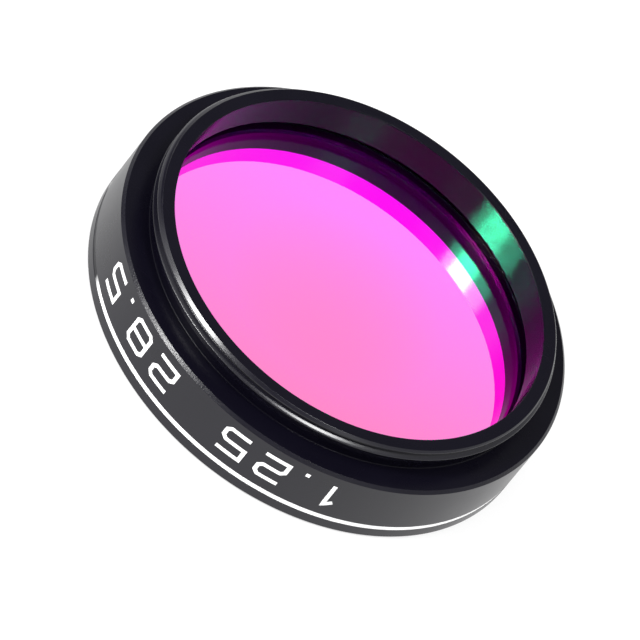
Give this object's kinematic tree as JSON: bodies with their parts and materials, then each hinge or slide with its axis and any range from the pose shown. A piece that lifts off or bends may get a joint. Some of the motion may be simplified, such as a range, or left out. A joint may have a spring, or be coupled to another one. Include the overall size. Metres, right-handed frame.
{
  "type": "ultraviolet infrared cut filter",
  "caption": "Round screw-in optical filter: a black turned ring with an outside thread holds a coated glass disc, clamped from the rear by a notched threaded ring.",
  "frame": {"origin": "centre of the rear face, on the optical axis", "axes": "+Z along the optical axis, from the rear face towards the outside thread; +X runs through one spanner notch of the retaining ring"},
  "size_m": [0.0316, 0.0316, 0.007],
  "materials": {
    "anodised_ring": "black anodised, satin",
    "anodised_retainer": "black anodised, satin",
    "coated_glass": "polished optical glass, its rear face coated so that it passes magenta and reflects green"
  },
  "bodies": {
    "root": {"filter_cell": "anodised_ring", "filter_glass": "coated_glass", "retaining_ring": "anodised_retainer"}
  },
  "joints": []
}
